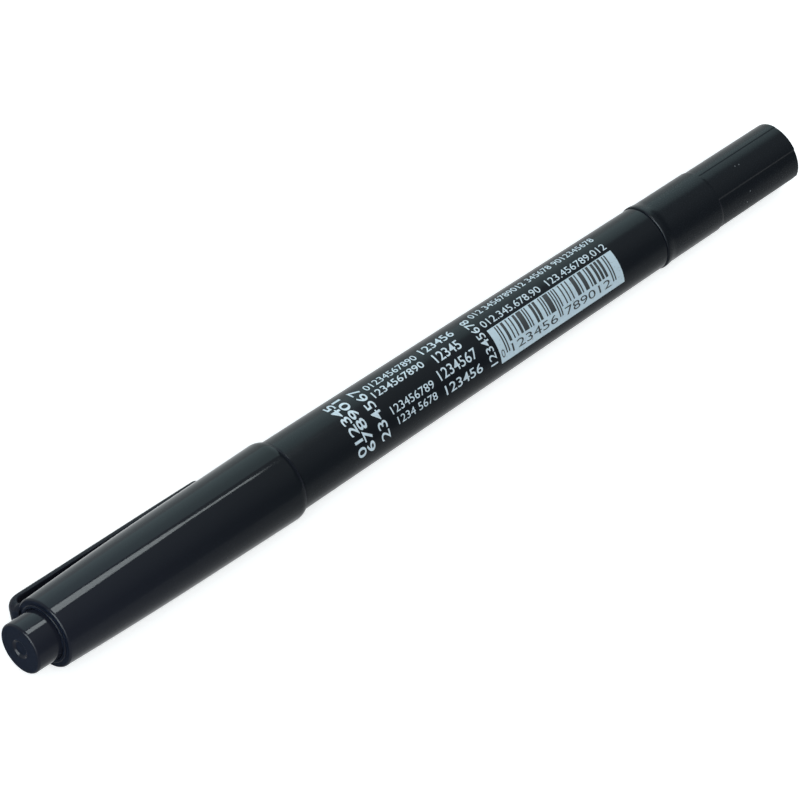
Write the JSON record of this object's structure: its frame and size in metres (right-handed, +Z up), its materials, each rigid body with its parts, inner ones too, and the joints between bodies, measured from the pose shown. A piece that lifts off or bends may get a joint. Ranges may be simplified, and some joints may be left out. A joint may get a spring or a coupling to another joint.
{
  "type": "double-ended permanent marker",
  "caption": "Slim double-ended permanent marker: tapered barrel, bullet nib under a long clip cap, fine nib under a short fluted cap.",
  "frame": {"origin": "middle of the pen's length and width, on the surface that it lies on", "axes": "+X along the pen's axis from the long cap's knob to the short cap's end, +Z up, clip down and towards +Y"},
  "size_m": [0.15, 0.0142, 0.0125],
  "materials": {
    "gloss_black": "polished moulded polypropylene",
    "satin_black": "satin moulded polypropylene with pale pad print",
    "matte_black": "finely spark-eroded moulded polypropylene",
    "liner_plastic": "soft moulded polyethylene",
    "holder_plastic": "moulded polypropylene",
    "ink_fibre": "bonded polyester fibre soaked in black ink",
    "clear_film": "thin wrapped film",
    "nib_steel": "drawn stainless tube"
  },
  "bodies": {
    "pen": {"barrel_tube": "satin_black", "ink_felt": "ink_fibre", "felt_film": "clear_film", "long_nib_holder": "holder_plastic", "bullet_nib": "ink_fibre", "fine_nib_holder": "holder_plastic", "fine_nib_sleeve": "nib_steel", "fine_nib": "ink_fibre"},
    "long_cap": {"long_cap_shell": "gloss_black", "long_cap_plug": "gloss_black", "long_cap_liner": "liner_plastic"},
    "short_cap": {"short_cap_shell": "matte_black", "short_cap_liner": "liner_plastic"}
  },
  "joints": [
    {"name": "long_cap_pull", "type": "slide", "parent": "pen", "child": "long_cap", "axis": [-1, 0, 0], "range_m": [0, 0.04]},
    {"name": "short_cap_pull", "type": "slide", "parent": "pen", "child": "short_cap", "axis": [1, 0, 0], "range_m": [0, 0.025]}
  ]
}
